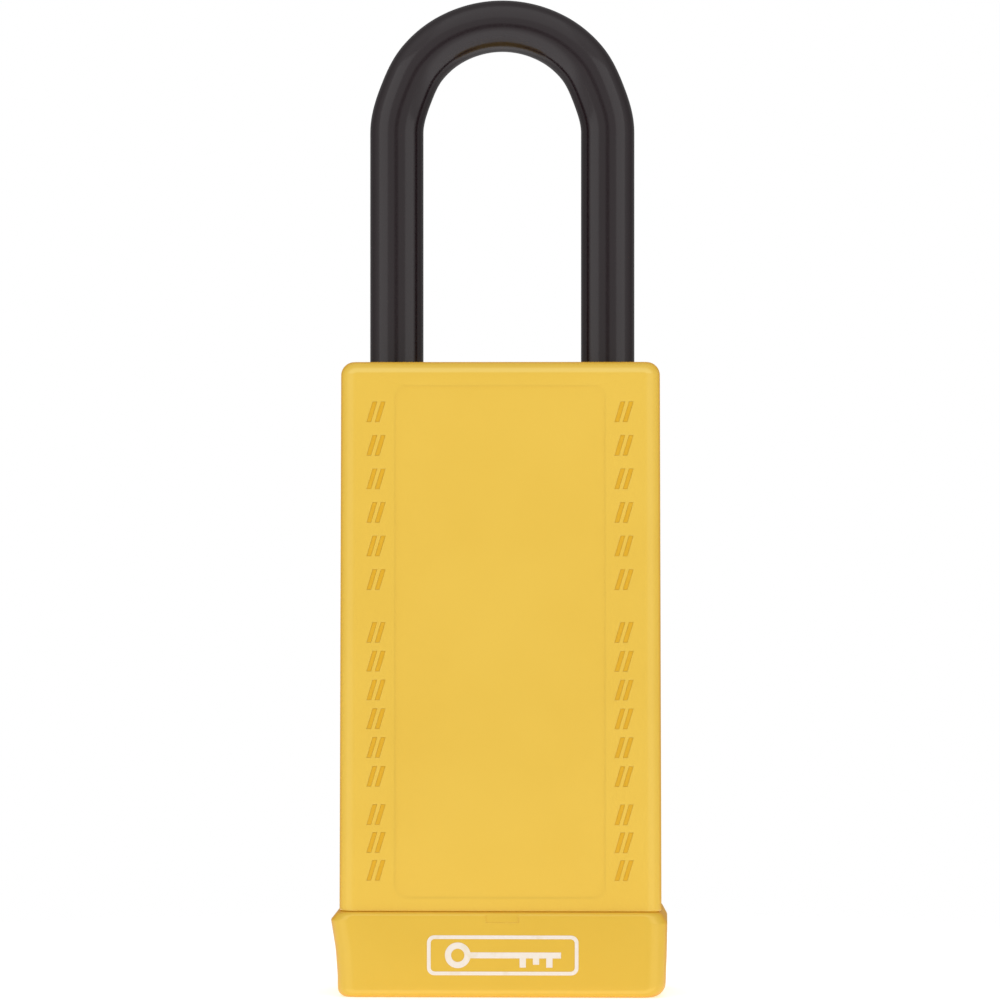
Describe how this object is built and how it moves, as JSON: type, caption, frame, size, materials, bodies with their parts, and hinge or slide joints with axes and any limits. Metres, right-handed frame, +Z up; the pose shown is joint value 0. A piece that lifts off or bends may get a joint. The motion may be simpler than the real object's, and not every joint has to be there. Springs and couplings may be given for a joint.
{
  "type": "safety padlock",
  "caption": "Tall rectangular safety padlock in a plastic cover, with a sleeved steel shackle, ball locking and a pin cylinder opened from below.",
  "frame": {"origin": "bottom centre of the base cap, midway between the shackle's legs", "axes": "+Z up along the shackle's legs, +X from the long heel leg towards the toe leg, front towards -Y"},
  "size_m": [0.0402, 0.0212, 0.1206],
  "materials": {
    "yellow_cover": "satin moulded plastic",
    "yellow_cap": "satin moulded plastic",
    "black_sheath": "satin moulded plastic",
    "hardened_steel": "ground",
    "spring_steel": "drawn wire",
    "lock_aluminium": "machined",
    "lock_brass": "machined",
    "nickel_silver": "machined",
    "white_print": "printed ink",
    "orange_print": "printed ink, a little darker than the cover"
  },
  "bodies": {
    "lock": {"body_cover": "yellow_cover", "base_cap": "yellow_cap", "lock_body": "lock_aluminium", "spacer_tube": "lock_aluminium", "cylinder_housing": "lock_brass", "chamber_cover": "lock_brass", "housing_screw": "hardened_steel", "shackle_spring": "spring_steel", "pin_spring_1": "spring_steel", "pin_spring_2": "spring_steel", "pin_spring_3": "spring_steel", "pin_spring_4": "spring_steel", "pin_spring_5": "spring_steel", "pin_spring_6": "spring_steel"},
    "shackle": {"shackle_core": "hardened_steel", "shackle_sheath": "black_sheath"},
    "cylinder_plug": {"plug": "lock_brass", "plug_clip": "spring_steel"},
    "cam_group": {"locking_cam": "hardened_steel", "drive_shaft": "hardened_steel"},
    "right_ball": {"ball_right": "hardened_steel"},
    "left_ball": {"ball_left": "hardened_steel"},
    "key_pin_body_1": {"key_pin_1": "lock_brass"},
    "key_pin_body_2": {"key_pin_2": "lock_brass"},
    "key_pin_body_3": {"key_pin_3": "lock_brass"},
    "key_pin_body_4": {"key_pin_4": "lock_brass"},
    "key_pin_body_5": {"key_pin_5": "lock_brass"},
    "key_pin_body_6": {"key_pin_6": "lock_brass"},
    "driver_pin_body_1": {"driver_pin_1": "nickel_silver"},
    "driver_pin_body_2": {"driver_pin_2": "nickel_silver"},
    "driver_pin_body_3": {"driver_pin_3": "nickel_silver"},
    "driver_pin_body_4": {"driver_pin_4": "nickel_silver"},
    "driver_pin_body_5": {"driver_pin_5": "nickel_silver"},
    "driver_pin_body_6": {"driver_pin_6": "nickel_silver"}
  },
  "joints": [
    {"name": "shackle_lift", "type": "slide", "parent": "lock", "child": "shackle", "axis": [0, 0, 1], "range_m": [0, 0.0135], "deforming": ["shackle_spring"]},
    {"name": "plug_turn", "type": "hinge", "parent": "lock", "child": "cylinder_plug", "pos_m": [0, 0, 0.0029], "axis": [0, 0, 1], "range_deg": [-90, 0]},
    {"name": "cam_turn", "type": "hinge", "parent": "lock", "child": "cam_group", "pos_m": [0, 0, 0.064], "axis": [0, 0, 1], "range_deg": [-90, 0]},
    {"name": "ball_right_slide", "type": "slide", "parent": "lock", "child": "right_ball", "axis": [1, 0, 0], "range_m": [0, 0.00145]},
    {"name": "ball_left_slide", "type": "slide", "parent": "lock", "child": "left_ball", "axis": [-1, 0, 0], "range_m": [0, 0.00095]},
    {"name": "key_pin_1_lift", "type": "slide", "parent": "cylinder_plug", "child": "key_pin_body_1", "axis": [0, 1, 0], "range_m": [0, 0.0009]},
    {"name": "key_pin_2_lift", "type": "slide", "parent": "cylinder_plug", "child": "key_pin_body_2", "axis": [0, 1, 0], "range_m": [0, 0.0005]},
    {"name": "key_pin_3_lift", "type": "slide", "parent": "cylinder_plug", "child": "key_pin_body_3", "axis": [0, 1, 0], "range_m": [0, 0.0013]},
    {"name": "key_pin_4_lift", "type": "slide", "parent": "cylinder_plug", "child": "key_pin_body_4", "axis": [0, 1, 0], "range_m": [0, 0.0007]},
    {"name": "key_pin_5_lift", "type": "slide", "parent": "cylinder_plug", "child": "key_pin_body_5", "axis": [0, 1, 0], "range_m": [0, 0.0011]},
    {"name": "key_pin_6_lift", "type": "slide", "parent": "cylinder_plug", "child": "key_pin_body_6", "axis": [0, 1, 0], "range_m": [0, 0.0004]},
    {"name": "driver_pin_1_lift", "type": "slide", "parent": "lock", "child": "driver_pin_body_1", "axis": [1, 0, 0], "range_m": [0, 0.0008], "stiffness_N_per_m": 20, "springref_m": -0.004, "deforming": ["pin_spring_1"]},
    {"name": "driver_pin_2_lift", "type": "slide", "parent": "lock", "child": "driver_pin_body_2", "axis": [1, 0, 0], "range_m": [0, 0.0008], "stiffness_N_per_m": 20, "springref_m": -0.004, "deforming": ["pin_spring_2"]},
    {"name": "driver_pin_3_lift", "type": "slide", "parent": "lock", "child": "driver_pin_body_3", "axis": [1, 0, 0], "range_m": [0, 0.0008], "stiffness_N_per_m": 20, "springref_m": -0.004, "deforming": ["pin_spring_3"]},
    {"name": "driver_pin_4_lift", "type": "slide", "parent": "lock", "child": "driver_pin_body_4", "axis": [1, 0, 0], "range_m": [0, 0.0008], "stiffness_N_per_m": 20, "springref_m": -0.004, "deforming": ["pin_spring_4"]},
    {"name": "driver_pin_5_lift", "type": "slide", "parent": "lock", "child": "driver_pin_body_5", "axis": [1, 0, 0], "range_m": [0, 0.0008], "stiffness_N_per_m": 20, "springref_m": -0.004, "deforming": ["pin_spring_5"]},
    {"name": "driver_pin_6_lift", "type": "slide", "parent": "lock", "child": "driver_pin_body_6", "axis": [1, 0, 0], "range_m": [0, 0.0008], "stiffness_N_per_m": 20, "springref_m": -0.004, "deforming": ["pin_spring_6"]}
  ],
  "couplings": [
    {"joint": "cam_turn", "follows": "plug_turn", "ratio": 1},
    {"joint": "ball_right_slide", "follows": "plug_turn", "m_per_rad": -0.000923},
    {"joint": "ball_left_slide", "follows": "plug_turn", "m_per_rad": -0.0006047}
  ]
}
